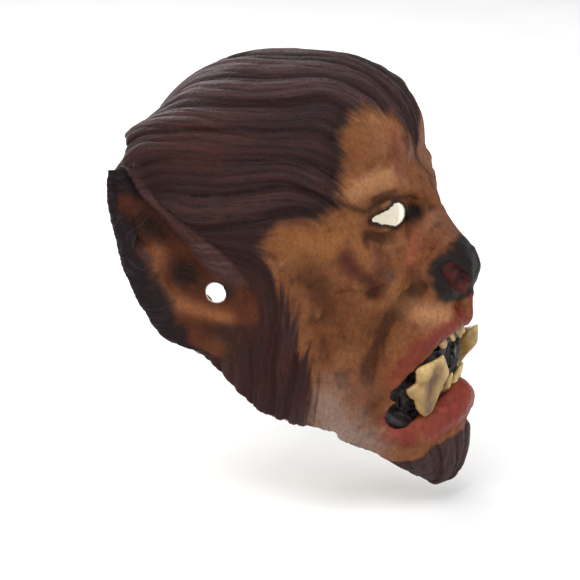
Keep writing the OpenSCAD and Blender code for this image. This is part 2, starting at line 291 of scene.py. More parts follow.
def mouth_hollow(p):
    """Distance to the space of the open mouth."""
    high = ridge(p, ((0, -120, -46), (12, -116, -48), (28, -102, -58), (38, -89, -69)), (12, 12, 12, 10.5))
    return np.minimum(high, ridge(p, ((0, -120, -58), (16, -112, -66), (38, -92, -85)), (10.5, 11, 11.5)))


def skin_form(p):
    """Outer surface of the whole mask, on |x|."""
    f = head_form(p)
    f = soft_min(f, ellipsoid(p, (0, -116, 4), (25, 19, 21)), 5)  # nose pad
    f = soft_min(f, ellipsoid(p, (17, -111, -2), (15, 15, 16)), 5)  # wings of the nose
    f = soft_min(f, ridge(p, ((0, -128, -12), (0, -127, -26)), (4, 5)), 5)  # ridge under the nose
    f = soft_max(f, -ridge(p, NOSTRIL, NOSTRIL_R), 2.5)
    f = soft_min(f, ridge(p, UPPER_LIP, UPPER_LIP_R), 5)
    f = soft_min(f, ridge(p, LOWER_LIP, LOWER_LIP_R), 5)
    f = soft_max(f, -mouth_hollow(p), 3)
    v, inside, ear_x = ear_frame(p)
    thick = mix(np.interp(v, *np.array(EAR_BACK).T), EAR_EDGE_THICKNESS, smooth(p[:, 2], 10, 80))
    sheet = soft_max(np.abs(p[:, 0] - ear_x + thick / 2) - thick / 2, -inside, 3)
    return soft_min(f, sheet, 7)


def rim_y(p, signed_x):
    """Where the back edge is cut, with the scallops of the hair locks."""
    z = p[:, 2]
    y = table(z, *np.array(RIM, float).T)
    crown = smooth(z, 84, 96)
    across = signed_x / 13 + 0.8 * np.sin(signed_x / 9)
    return y + crown * (2.5 * np.sin(across) + 1.5 * np.sin(2.3 * across + 1))


def eye_hole_distance(p):
    """Distance to the teardrop cut through the lids."""
    return tube(np.stack([EYE_TURN[0] * p[:, 0] + EYE_TURN[1] * p[:, 1], p[:, 2]], 1), EYE_HOLE)


def wall_at(p):
    """Thickness of the latex, thinner round the eyes."""
    to_eye = np.linalg.norm(p - EYE_MIDDLE, axis=1) / EYE_THIN_REACH
    return WALL - EYE_THINNING * np.exp(-to_eye ** 2)


def mask_solid(q):
    """Signed distance of the latex skin."""
    p = folded(q)
    outside = skin_form(p)
    skin = np.maximum(outside, -(head_form(p) + wall_at(p)))
    beyond = p[:, 1] - rim_y(p, q[:, 0])
    ear_only = soft_max(EAR_START_X - p[:, 0], -ear_frame(p)[1] - 1, 2)
    skin = soft_max(skin, np.minimum(beyond, np.maximum(ear_only, outside)), 1.5)
    eye = eye_hole_distance(p)
    skin = soft_max(skin, -np.maximum(eye, p[:, 1] - EYE_HOLE_END_Y), 1.5)
    ear_hole = np.hypot(p[:, 1] - EAR_HOLE[0], p[:, 2] - EAR_HOLE[1]) - EAR_HOLE_R
    return soft_max(skin, -np.maximum(ear_hole, EAR_HOLE_START_X - p[:, 0]), 1.2)


# ------------ Meshes ------------

FAR = 9.0  # stands for any distance away from the surface
BATCH = 400000  # places sampled at a time


def sample_near(distance, low, high, step, block=6, band=6.0):
    """Samples a distance on a grid, in full only in the blocks that the surface passes near."""
    low = np.array(low, float)
    blocks = np.ceil((np.array(high) - low) / (step * block)).astype(int) + 1
    axes = [low[k] + step * block * np.arange(blocks[k] + 1) for k in range(3)]
    corners = distance(np.stack(np.meshgrid(*axes, indexing="ij"), -1).reshape(-1, 3))
    corners = corners.reshape([len(a) for a in axes])
    lowest = np.full(tuple(blocks), 1e9)
    mean = np.zeros(tuple(blocks))
    for i in (0, 1):
        for j in (0, 1):
            for k in (0, 1):
                part = corners[i:i + blocks[0], j:j + blocks[1], k:k + blocks[2]]
                lowest = np.minimum(lowest, np.abs(part))
                mean += part / 8
    near = lowest < max(band, step * block * 0.95)
    grid = np.repeat(np.repeat(np.repeat(np.where(mean < 0, -FAR, FAR), block, 0), block, 1), block, 2)
    inner = np.stack(np.meshgrid(*[np.arange(block)] * 3, indexing="ij"), -1).reshape(-1, 3)
    index = (np.argwhere(near)[:, None, :] * block + inner[None]).reshape(-1, 3)
    for start in range(0, len(index), BATCH):
        part = index[start:start + BATCH]
        grid[part[:, 0], part[:, 1], part[:, 2]] = distance(low + part * step)
    return grid, low


def surface(distance, low, high, step):
    """Points in millimetres and quads of the surface where a distance is zero."""
    grid, low = sample_near(distance, low, high, step)
    volume = openvdb.FloatGrid(FAR)
    volume.copyFromArray(grid.astype(np.float32))
    points, quads = volume.convertToQuads(isovalue=0)
    return points.astype(float) * step + low, quads


def normals_of(points, quads):
    """Vertex normals, and each vertex's neighbours' mean place."""
    a, b, c, d = (points[quads[:, k]] for k in range(4))
    face = np.cross(c - a, d - b)
    total = np.zeros_like(points)
    around = np.zeros_like(points)
    count = np.zeros(len(points))
    for k in range(4):
        for axis in range(3):
            total[:, axis] += np.bincount(quads[:, k], face[:, axis], len(points))
            following = points[quads[:, (k + 1) % 4]][:, axis] + points[quads[:, (k + 3) % 4]][:, axis]
            around[:, axis] += np.bincount(quads[:, k], following, len(points))
        count += 2 * np.bincount(quads[:, k], minlength=len(points))
    length = np.linalg.norm(total, axis=1, keepdims=True) + 1e-9
    return total / length, around / np.maximum(count, 1)[:, None]


def relax(points, quads, times, amount):
    """Evens out the stepping of the grid."""
    for _ in range(times):
        points = mix(points, normals_of(points, quads)[1], amount)
    return points


def sculpted(distance, box, step, amount=0.4):
    """Surface inside a box, evened out."""
    points, quads = surface(distance, *box, step)
    return relax(points, quads, 2, amount), quads


def make_object(name, points, faces, material, attributes=None, smooth_shaded=True):
    """Blender object from points in millimetres, with per-vertex colours and values."""
    mesh = bpy.data.meshes.new(name)
    faces = np.asarray(faces)
    mesh.vertices.add(len(points))
    mesh.vertices.foreach_set("co", (np.asarray(points) * MM).astype(np.float32).ravel())
    mesh.loops.add(faces.size)
    mesh.loops.foreach_set("vertex_index", faces.astype(np.int32).ravel())
    mesh.polygons.add(len(faces))
    mesh.polygons.foreach_set("loop_start", np.arange(0, faces.size, faces.shape[1], dtype=np.int32))
    mesh.polygons.foreach_set("use_smooth", np.full(len(faces), smooth_shaded))
    mesh.update(calc_edges=True)
    mesh.validate()
    for key, values in (attributes or {}).items():
        values = np.asarray(values, np.float32)
        if values.ndim == 2:
            attribute = mesh.color_attributes.new(key, "FLOAT_COLOR", "POINT")
            rgba = np.hstack([values, np.ones((len(values), 4 - values.shape[1]), np.float32)])
            attribute.data.foreach_set("color", rgba.ravel())
        else:
            mesh.attributes.new(key, "FLOAT", "POINT").data.foreach_set("value", values)
    mesh.materials.append(material)
    obj = bpy.data.objects.new(name, mesh)
    bpy.context.scene.collection.objects.link(obj)
    return obj


# ------------ Hair: where it grows and which way it lies ------------

# y and z of the line that the strands at the side turn about
SIDE_PATH = np.array([[42, 36], [-40, 36], [-22, -100]], float)
SIDE_ROUNDING = 34.0
HAIR_ARC = 95.0  # millimetres for each radian from the ear to the crown
TUFT_TIP_Z = -150.0
# Outline of the bare face: way round the head, and height.
BARE_SKIN = [(-28, 60), (0, 71), (4, 82), (11, 93), (26, 109), (44, 115), (60, 112), (68, 100), (70, 74),
             (73, 57), (85, 50), (110, 50), (121, 32), (114, 12), (104, -5), (101, -23), (94, -39), (88, -56),
             (88, -74), (92, -88), (96, -130), (56, -170), (-28, -170)]


def way_round(p):
    """Distance round the head from the middle of the face."""
    return np.degrees(np.arctan2(np.abs(p[:, 0]), -(p[:, 1] + 10))) * 1.4


def hair_flow(p):
    """Place across and along the strands, in mm."""
    side = p[:, 1:3]
    over_ear = nearest_on_path(side, SIDE_PATH[:2])[0]
    by_cheek = nearest_on_path(side, SIDE_PATH[1:])[0]
    reach = np.maximum(soft_min(over_ear, by_cheek, SIDE_ROUNDING) + SIDE_ROUNDING / 4, 0)
    across = np.arctan2(reach, np.abs(p[:, 0]) * 0.9 + 6) * HAIR_ARC
    across = across + 5 * noise_at(p, 60, 3) + 2.2 * noise_at(p, 24, 5)
    return across * np.sign(p[:, 0] + 1e-6), side.sum(axis=1)


def lock_profile(across, along, pitch, seed):
    """Rounded locks side by side with sharp grooves between, from 0 to 1, and each lock's number."""
    wander = 0.35 * streaks(across, along, pitch * 4, pitch * 5, seed)
    cell = across / pitch + wander
    number = np.floor(cell)
    f = cell - number
    swell = 0.75 + 0.5 * noise(number * 7.3, along / (pitch * 3.5), across * 0, seed + 1)
    lean = 0.35 * lattice(number.astype(np.int64), 0, 0, seed + 2)
    return np.power(np.clip(4 * f * (1 - f), 0, 1), 0.6) * swell + lean * (f - 0.5), number


def hairline(p):
    """Distance into the hair from its edge, with a streaky edge."""
    across, along = hair_flow(p)
    streak = streaks(across, along, 1.7, 24, 41) + streaks(across, along, 4.5, 36, 43)
    loose = mix(1.6, 5.5, smooth(-p[:, 2], -45, 15) * smooth(p[:, 1], -90, -55) * smooth(p[:, 2], -68, -46))
    return outline_distance(way_round(p), p[:, 2], BARE_SKIN) + loose * streak


def tuft_fan(p):
    """Angle of a place seen from the tip of the chin tuft."""
    return np.degrees(np.arctan2(p[:, 0], p[:, 2] - TUFT_TIP_Z))


def tuft_depth(p):
    """Distance into the chin tuft from its edge under the lower lip."""
    fan = tuft_fan(p)
    streak = streaks(fan, p[:, 2], 5, 30, 47)
    return np.minimum(-99 - 0.011 * p[:, 0] ** 2 - p[:, 2], 44 - np.abs(p[:, 0])) + 2.5 * streak


def locks(across, along):
    """Height of the sculpted hair: broad locks, thin locks and strands."""
    broad, number = lock_profile(across, along, 19, 11)
    shift = 5 * lattice(number.astype(np.int64), 1, 2, 19)
    thin, second = lock_profile(across + shift, along + 40 * shift, 6.6, 23)
    shift = 2 * lattice(second.astype(np.int64), 1, 2, 29)
    strand = lock_profile(across + shift, along + 30 * shift, 2.7, 31)[0]
    return 3.4 * (broad - 0.7) + 1.5 * (thin - 0.7) + 0.55 * (strand - 0.7)


# ------------ Folds and wrinkles of the face ------------

FOLDS = [  # points, half width, depth (below zero raises)
    (((5, -106, 74), (6, -109, 60), (8, -111, 49)), 2.6, 2.6),  # frown lines
    (((13, -104, 82), (14, -107, 68), (15, -106, 60)), 2.6, 1.6),
    (((24, -98, 88), (24, -99, 78), (25, -98, 70)), 3.0, 1.2),
    (((20, -104, 54), (30, -98, 57), (42, -86, 60), (54, -72, 57)), 3.0, 2.6),  # fold over the upper lid
    (((24, -100, 36), (32, -94, 31), (43, -84, 32), (53, -72, 38)), 2.6, 2.4),  # bag under the eye
    (((24, -102, 30), (34, -94, 24), (46, -83, 25), (57, -69, 31)), 2.4, 1.5),
    (((52, -74, 46), (60, -64, 48), (66, -55, 52)), 2.2, 2.0),  # lines beside the eye
    (((52, -74, 43), (61, -64, 41), (68, -54, 41)), 2.0, 1.6),
    (((24, -110, 4), (34, -102, -6), (45, -90, -20), (52, -80, -42), (52, -76, -66), (48, -76, -88)),
     5.0, 2.4),  # fold beside the muzzle
    (((40, -90, 10), (52, -80, -4), (60, -70, -24), (62, -64, -52), (58, -62, -80)), 4.0, 2.6),
    (((14, -108, 32), (20, -103, 26), (27, -99, 16)), 2.2, 1.8),  # snarl lines of the nose
    (((12, -111, 24), (17, -108, 19), (22, -106, 14)), 2.0, 0.8),
    (((0, -108, 44), (9, -106, 45), (16, -103, 42)), 2.0, 1.6),
    (((0, -113, 33), (8, -112, 35), (14, -108, 34)), 1.8, 1.2),
    (((30, -104, -112), (22, -114, -108), (0, -120, -107)), 4.0, 3.0),  # crease under the lip
    (((46, -84, -92), (52, -76, -98), (56, -66, -106)), 3.0, 2.2),  # folds of the jaw
    (((50, -82, -78), (58, -72, -84), (62, -60, -92)), 2.6, 1.6),
    (((58, -66, 14), (66, -52, 12), (70, -40, 6)), 3.2, 1.6),  # dents of the cheek
    (((54, -75, 25), (52, -76, 26), (51, -77, 24)), 2.4, 2.6),  # pit below the eye
    (((66, -60, -12), (70, -52, -26), (71, -48, -44)), 3.4, 1.8),
    (((30, -98, 66), (42, -86, 72), (56, -70, 70)), 4.5, -1.4),  # swollen brow
    (((27, -100, 42), (38, -90, 37), (48, -80, 40)), 2.6, -1.6),  # rim of the lower lid
    (((26, -101, 52), (36, -92, 57), (48, -79, 51)), 2.4, -2.0),  # rim of the upper lid
]
EAR_FOLDS = [  # points, half width, depth
    (((96, 52, 44), (96, 54, 38)), 8.0, 7.0),  # upper hollow
    (((89, 34, 12), (89, 35, 8)), 7.0, 6.0),  # hollow behind the hole
    (((90, 14, -3), (90, 16, -1)), 9.0, 3.0),  # funnel of the hole
    (((98, 54, 26), (95, 50, 6), (91, 40, -7), (86, 27, -14), (82, 7, -18)), 5.0, -4.0),  # inner ridge
    (((101, 64, 34), (100, 60, 2), (95, 46, -19), (86, 27, -26)), 3.4, 3.2),  # groove inside the rim
    (((86, 6, 30), (83, -4, 18), (80, -8, 4), (79, -4, -12)), 3.0, 2.0),  # crease before the ear
]


def fold_heights(p, folds):
    """Sum of the folds' heights, each fading towards its ends."""
    total = np.zeros(len(p))
    for points, width, depth in folds:
        near = near_to(p, points, 4 * width)
        if len(near) == 0:
            continue
        d, share = nearest_on_path(p[near], spline(points, 4))
        fade = smooth(share, -0.35, 0.25) * smooth(1 - share, -0.35, 0.25)
        total[near] -= depth * fade * np.exp(-(d / width) ** 2)
    return total


# ------------ Paint, sprayed on vertex by vertex ------------

def rgb(text):
    """Linear colour from the usual hex notation."""
    values = np.array([int(text[i:i + 2], 16) for i in (1, 3, 5)]) / 255
    return np.where(values <= 0.04045, values / 12.92, ((values + 0.055) / 1.055) ** 2.4)


def spray(colours, strength, colour):
    strength = np.clip(strength, 0, 1)[:, None]
    return colours * (1 - strength) + rgb(colour) * strength


def coats(colours, *layers):
    """Sprays one layer after another; each is its strength and its colour."""
    for strength, colour in layers:
        colours = spray(colours, strength, colour)
    return colours


def all_over(colour, count):
    return np.tile(rgb(colour), (count, 1))


def blob(p, centre, radii):
    """1 at a place, fading out around it."""
    return np.exp(-np.sum(((p - np.array(centre)) / radii) ** 2, 1))


SPRAYS = [  # points, reach, strength, colour
    (((60, -71, 65), (56, -76, 69), (48, -84, 70), (38, -90, 70)), 8, 0.75, "#b98d64"),  # swell of the brow: lighter paint, partly a painted highlight
    (((40, -77, 103), (38, -84, 95), (28, -88, 99)), 9, 0.5, "#ab7d58"),  # top of the forehead
    (((77, -30, 42), (74, -46, 32), (70, -56, 34), (64, -66, 40)), 10, 0.6, "#a47240"),  # cheekbone: lighter paint, partly a painted highlight
    (((41, -88, 26), (29, -92, 27)), 5, 0.6, "#a87854"),  # bag under the eye
    (((14, -103, 32), (9, -108, 40)), 5, 0.6, "#b07c5a"),  # side of the nose
    # upper side of the muzzle: lighter paint, partly a painted highlight
    (((44, -92, 0), (40, -98, -12), (25, -118, -20)), 8, 0.55, "#a87a50"),
    (((38, -108, -17), (25, -121, -21)), 7, 0.9, "#c2936a"),  # swell of the muzzle: lighter paint, partly a painted highlight
    (((39, -105, -28), (33, -115, -25)), 6, 0.2, "#ad7e5a"),
    (((58, -72, -40), (60, -70, -56), (60, -74, -72)), 8, 0.45, "#9a6a4c"),
    (((71, -54, -73), (69, -60, -83), (62, -68, -94), (50, -78, -103)), 15, 0.9, "#9c8a80"),  # pale jaw
    (((19, -98, 26), (24, -99, 21), (33, -99, 17)), 4.5, 0.8, "#b06a50"),  # red beside the nose
    (((67, -67, 24), (65, -73, 16), (59, -80, 8), (51, -82, -3)), 5, 0.8, "#4a2019"),  # groove of the cheek: painted shade
    (((45, -82, -24), (42, -92, -17), (37, -100, -11), (32, -108, -7)), 8, 0.28, "#4c2918"),  # painted shade beside the muzzle
    # painted shade along the fold beside the muzzle
    (((44, -89, -22), (45, -82, -30), (47, -81, -42), (52, -85, -54), (54, -85, -66), (55, -82, -81)),
     8, 0.36, "#50261b"),
    (((52, -76, 35), (53, -76, 34)), 3.5, 0.95, "#37200f"),  # pit below the eye: painted shade in the dent
    (((52, -80, 27), (56, -84, 18)), 2.5, 0.65, "#784840"),  # vein
    (((49, -91, 10), (48, -92, 9)), 3, 0.75, "#5c4c4b"),
    (((72, -46, 14), (68, -50, 2), (64, -54, -8), (58, -56, -20)), 9, 0.65, "#4f2c15"),  # painted shade before the sideburn
    (((60, -64, -6), (52, -68, -18)), 7, 0.4, "#6e3a28"),
    (((61, -72, -62), (61, -72, -66)), 7, 0.5, "#634038"),
    (((59, -75, -90), (60, -74, -91)), 2.2, 0.7, "#5e4038"),
    (((31, -88, 97), (31, -91, 81), (35, -94, 69)), 5, 0.7, "#7e3c2c"),  # red streaks of the brow
    (((22, -92, 98), (22, -96, 84), (24, -98, 70)), 3.5, 0.5, "#7e3c2c"),
    (((8, -101, 73), (15, -103, 60), (9, -103, 49)), 2.2, 0.65, "#5e3020"),  # frown: painted shade in its groove, reddish
    (((66, -62, 60), (55, -75, 52), (50, -80, 55), (34, -89, 57), (14, -97, 52)),
     2.4, 0.9, "#37200f"),  # upper lid: painted shade of its fold
    (((50, -78, 38), (41, -86, 36), (30, -92, 36)), 2.4, 0.6, "#4e2c1c"),  # lower lid: painted shade under its rim
    (((7, -111, 38), (3, -118, 29), (1, -122, 26)), 7, 0.5, "#6d5350"),  # grey of the nose bridge
    (((20, -116, -28), (34, -106, -36), (44, -94, -54)), 6, 0.5, "#7d3b2b"),  # red haze over the lip
]
# pale patch low on the jaw: a painted highlight
PALE_PATCH = (62, -52, -102)
EAR_HOLLOWS = (((55, 43), 14), ((34, 10), 11), ((6, 1), 5.5), ((60, 8), 6))  # (y, z), reach; painted shade in the ear's hollows
EAR_RIDGE = [(52, 24), (50, 6), (40, -7), (27, -14), (7, -18)]  # y and z of the pale inner ridge, painted as a highlight
UNDER_NOSE = np.array([(0, -130, -13), (0, -130, -30)], float)
MOUTH_STAIN = 28.0  # reach of the dark paint on the inner side
INNER_CORNER = (17, -95, 43)  # dark corner of the eye
GLAZE = np.array([0.72, 0.61, 0.56])  # thin brown wash over the bare skin
SKIN_GLOSS = 0.15
LIP_GLOSS = 0.45
NOSE_GLOSS = 0.22


def paint_skin(p, q, height):
    """Colour of the bare face, from its folds and the sprays, with painted shade in the folds and a painted
    highlight on the raised parts.
    """
    colours = coats(all_over("#7c4f2f", len(p)),
                    (0.5 + 0.5 * noise_at(q, 26, 51, 3), "#93633d"),
                    (0.75 * smooth(noise_at(q, 17, 57, 3), 0.1, 0.9), "#56321e"),
                    (0.5 * smooth(noise_at(q, 8, 61, 2), 0.2, 1.0), "#7a3c2a"),
                    # dark in the folds and light on the raised parts: partly a wash and dry-brushing, partly
                    # painted shade and painted highlight
                    (0.85 * smooth(-height, 0.2, 1.5), "#38200f"),
                    (0.6 * smooth(height, 0.2, 1.4), "#b58b60"))
    for points, reach, strength, colour in SPRAYS:
        near = near_to(p, points, 3 * reach)
        d, _ = nearest_on_path(p[near], spline(points, 3))
        ragged = 1 + 0.35 * noise_at(q[near], 5, 67, 2)
        amount = strength * np.exp(-(d / (reach * ragged)) ** 2)
        colours[near] = spray(colours[near], amount, colour)
    round_eye = eye_hole_distance(p) + 1.5 * noise_at(q, 6, 69, 2)
    in_front = smooth(-p[:, 1], 60, 70)
    corner = np.linalg.norm((p - INNER_CORNER) / (13, 10, 7), axis=1)
    colours = coats(colours,
                    (0.95 * smooth(5.4 - round_eye, 0, 4.0) * in_front, "#1c1012"),
                    (0.97 * smooth(1.25 - corner, 0, 0.7), "#0a0608"))
    return colours * GLAZE


def lip_depth(p):
    """Distance inside the red of the lips."""
    upper = ridge(p, UPPER_LIP, UPPER_LIP_R)
    lower = ridge(p, LOWER_LIP, LOWER_LIP_R)
    return -np.minimum(upper, lower)


def ear_hair(p, q, v):
    """Share of hair on the ear: along its rear edge and over its tip."""
    rough = 0.05 * noise_at(q, 9, 99, 2)
    return np.maximum(smooth(v + rough, 0.66, 0.8), smooth(p[:, 2] + 90 * rough, 56, 66))


def nose_depth(p):
    """Distance inside the dark pad of the nose."""
    return -soft_min(ellipsoid(p, (0, -120, 5), (23, 19, 21)), ellipsoid(p, (18, -117, 1), (13, 12.5, 15)), 4)


def paint_lips(colours, p, q, height):
    """Red lips with a dark inner edge, how much of each vertex is lip, and how much is inside the mouth."""
    lip = smooth(lip_depth(p) + 1.2 * noise_at(q, 4, 71, 2), -4, 1.5) * smooth(-height, -9, -8)
    within = -mouth_hollow(p + [0, -5, 0])
    inside_mouth = smooth(within, -1.0, 2.5)
    colours = coats(colours,
                    (0.94 * lip, "#79231b"),
                    (0.5 * lip * smooth(noise_at(q, 6, 73, 2), 0, 1), "#9a443a"),
                    (0.5 * lip * smooth(p[:, 2], -66, -50), "#54150f"),
                    (0.5 * lip * smooth(within, -5, -1), "#4a1512"),
                    (0.95 * inside_mouth, "#1c0f12"))
    return colours, lip, inside_mouth


def paint_nose(colours, p, q):
    """Black nose pad with a dark red nostril, darker deep inside as painted shade, and how much of each
    vertex is pad.
    """
    pad = smooth(nose_depth(p) + 0.6 * noise_at(q, 5, 79, 2), -2.5, 0.8)
    nostril = ridge(p, NOSTRIL, NOSTRIL_R)
    nostril_shade = smooth(p[:, 1] - 0.4 * p[:, 2], -127, -121)
    under = nearest_on_path(p, UNDER_NOSE)[0]
    colours = coats(colours,
                    (0.97 * pad, "#09080b"),
                    (0.4 * pad * smooth(noise_at(q, 7, 83, 2), 0.1, 1), "#1d1c23"),
                    (0.95 * smooth(-nostril, -1.2, 0.8), "#5b231d"),
                    # painted shade deep in the nostril
                    (0.85 * smooth(-nostril, -0.8, 0.8) * nostril_shade, "#260a08"),
                    (0.85 * smooth(-under, -4.5, -2), "#74302c"))
    return colours, pad


def paint_hair(p, height, hair, across, along):
    """Colour of the hair, lighter on its ridges and darker in its grooves as painted highlight and painted
    shade, with a painted sheen on top, and reddish over the ears and behind the jaw.
    """
    tone = 0.5 + 0.5 * streaks(across, along, 9, 70, 91)
    raised = smooth(height, -0.5, 2)
    low = smooth(-p[:, 2], -55, 20) * smooth(p[:, 1], -70, -30)
    # painted shade along the edge of the hair at the temple
    temple_edge_shade = smooth(14 - hair, 0, 12) * smooth(p[:, 2], 44, 56) * smooth(p[:, 0], 40, 55)
    return coats(all_over("#271412", len(p)),
                 (0.7 * tone, "#341b17"),
                 # lighter on the raised locks and darker in the grooves: partly dry-brushing, partly painted
                 # highlight and painted shade
                 (0.6 * smooth(height, 0.2, 2.6), "#4b302c"),
                 (0.7 * smooth(-height, 0.4, 3.0), "#0f0708"),
                 # painted sheen on the raised locks over the top of the head; the next line also lightens the
                 # raised locks low down
                 (0.2 * smooth(p[:, 2], 95, 138) * raised, "#6d585b"),
                 (0.4 * smooth(-p[:, 2], 60, 100) * raised, "#66504d"),
                 (0.5 * blob(p, (70, 26, 88), (26, 22, 18)) + 0.25 * low, "#54261f"),
                 # painted shade along the edge of the hair at the temple
                 (0.55 * temple_edge_shade, "#190c0a"))


def paint_ear(p, q, height, v, across, along):
    """Brown bowl with a pale inner ridge as painted highlight and dark hollows as painted shade, and dark
    hair round it.
    """
    ridge_distance = nearest_on_path(p[:, 1:3], spline(EAR_RIDGE, 4))[0]
    bowl = coats(all_over("#552b18", len(p)),
                 (0.5 * smooth(noise_at(q, 14, 97, 2), -0.2, 0.9), "#68391f"),
                 # pale inner ridge: painted highlight
                 (0.9 * np.exp(-(ridge_distance / 5.5) ** 2), "#9c6844"),
                 (0.8 * smooth(-p[:, 2], 17, 26) * smooth(-v, -0.7, -0.3), "#2e1a1a"))
    rough = 1 + 0.2 * noise_at(q, 6, 98, 2)
    # dark hollows of the ear: painted shade
    for centre, reach in EAR_HOLLOWS:
        away = np.sum(((p[:, 1:3] - centre) / (reach * rough)[:, None]) ** 2, 1)
        bowl = spray(bowl, 0.95 * np.exp(-away ** 1.3), "#130a0d")
    tragus = smooth(p[:, 2] - 0.75 * p[:, 1], 2, 10) * smooth(-v, -0.6, -0.3)
    band = ear_hair(p, q, v)
    bowl = coats(bowl,
                 (0.85 * tragus, "#43211c"),
                 (0.97 * band, "#1e151b"),
                 # lighter on the raised hair of the rim: painted highlight
                 (0.35 * band * smooth(height, 0.2, 1.5), "#43323a"),
                 (0.8 * blob(p, (86, 15, -38), (12, 7, 7)), "#74492b"))
    front_ridge = smooth(-v, -0.34, -0.2) * smooth(p[:, 2], -4, 14)
    strands = streaks(across, along, 1.6, 26, 103)
    return coats(bowl * GLAZE,
                 (0.85 * front_ridge, "#3d2624"),
                 (0.5 * front_ridge * smooth(strands, 0, 0.8), "#5b4040"))


def paint_mask(q, height, outer, hair, tuft, ear):
    """Colour, gloss and share of plain skin of every vertex of the latex skin."""
    p = folded(q)
    v, inside, ear_x = ear
    across, along = hair_flow(q)
    colours = paint_skin(p, q, height)
    colours, lip, inside_mouth = paint_lips(colours, p, q, height)
    colours, nose = paint_nose(colours, p, q)
    # pale patch low on the jaw: painted highlight
    colours = spray(colours, 0.63 * blob(p, PALE_PATCH, (15, 15, 13)), "#a5978f")
    gloss = np.maximum(np.maximum(SKIN_GLOSS, LIP_GLOSS * lip), NOSE_GLOSS * nose)

    hair_colour = paint_hair(p, height, hair, across, along)
    frayed = hair + 2.2 * streaks(across, along, 0.8, 16, 95)
    colours = mix(colours, hair_colour, smooth(frayed, -6.5, 4.5)[:, None])
    tuft_colour = spray(hair_colour, np.full(len(p), 0.35), "#4d3534")
    colours = mix(colours, tuft_colour, smooth(tuft, -1.5, 2.0)[:, None])
    on_ear = smooth(inside, -2, 1.5) * smooth(p[:, 0] - ear_x, -4.5, -1.5)
    colours = mix(colours, paint_ear(p, q, height, v, across, along), on_ear[:, None])

    bare = rgb("#f3eee2") * (1 + 0.05 * noise_at(q, 9, 101, 2))[:, None]
    bare = spray(bare, smooth(MOUTH_STAIN - mouth_hollow(p), 0, 3), "#1c0f12")
    plain = outer * (1 - nose) * (1 - 0.8 * lip) * (1 - inside_mouth)
    return mix(bare, colours, outer[:, None]), gloss * outer, plain


# ------------ The latex skin ------------

DEEPEST = -1.6  # so that no groove reaches the inside of the wall
EAR_DEEPEST = -1.1
SKIN_BOX = ((-116, -146, -156), (116, 104, 150))


def lip_wrinkles(p, q):
    """Fine creases that cross the lips."""
    total = np.zeros(len(p))
    for points, radii in ((UPPER_LIP, UPPER_LIP_R), (LOWER_LIP, LOWER_LIP_R)):
        path = spline(points, 4)
        d, share = nearest_on_path(p, path)
        length = np.linalg.norm(np.diff(path, axis=0), axis=1).sum()
        crease = noise(share * length / 2.2, d / 7, np.sign(q[:, 0]) * 9.3, 109)
        total += crease * smooth(max(radii) + 3 - d, 0, 4)
    return total


def sculpt_skin():
    """Points, quads and per-vertex values of the latex skin."""
    points, quads = sculpted(mask_solid, SKIN_BOX, SKIN_VOXEL, 0.5)
    normals, _ = normals_of(points, quads)
    p = folded(points)
    outer = smooth(head_form(p) / wall_at(p), -0.65, -0.3)  # 0 on the inner side
    ear = ear_frame(p)
    v, inside, ear_x = ear
    on_ear = smooth(inside, -2, 2) * smooth(p[:, 0] - ear_x, -12, -4)
    hair = hairline(points)
    tuft = tuft_depth(points)
    across, along = hair_flow(points)
    hair_amount = smooth(hair, -2, 4) * (1 - on_ear)
    height = (1.15 * locks(across, along) + 1.3) * hair_amount

    fan = tuft_fan(points) * 1.1 + 3 * noise_at(points, 22, 107)
    tuft_amount = smooth(tuft, -1, 4) * smooth(-points[:, 1], 78, 86)
    height += tuft_amount * (1.2 + locks(fan, points[:, 2]) * 0.7)

    bare = (1 - hair_amount) * (1 - tuft_amount) * (1 - on_ear)
    folds = fold_heights(p, FOLDS)
    leather = 0.6 * noise_at(points, 11, 111, 2) + 0.45 * noise_at(points, 4.2, 117, 2)
    leather += 0.4 * lip_wrinkles(p, points)
    stroke = streaks(across, along, 2.4, 14, 121)
    height += bare * (1.2 * folds + leather + 0.3 * stroke)

    ear_amount = smooth(inside, -1, 3) * smooth(p[:, 0] - ear_x, -4, -1)
    band = ear_hair(p, points, v)
    combed = locks((points[:, 2] + 0.5 * points[:, 1]) * 1.3, v * 40)
    height += ear_amount * (fold_heights(p, EAR_FOLDS) * (1 - band) + 0.55 * band * combed)
    height += on_ear * 0.35 * noise_at(points, 6, 127, 2)

    height = np.maximum(height, mix(DEEPEST, EAR_DEEPEST, ear_amount * smooth(v, 0.1, 0.25)))
    detail = height * outer
    inner_wobble = (0.3 + 0.3 * noise_at(points, 13, 131)) * (1 - outer)
    points = points + normals * (detail + inner_wobble)[:, None]
    colours, gloss, plain = paint_mask(points, height, outer, hair, tuft_amount * 8 - 4, ear)
    furry = np.maximum(np.maximum(hair_amount, tuft_amount), band * ear_amount) * outer
    return points, quads, {"paint": colours, "gloss": gloss, "fur": furry, "across": across,
                           "along": along, "outer": outer, "pores": plain * (1 - furry)}


# ------------ Materials ------------

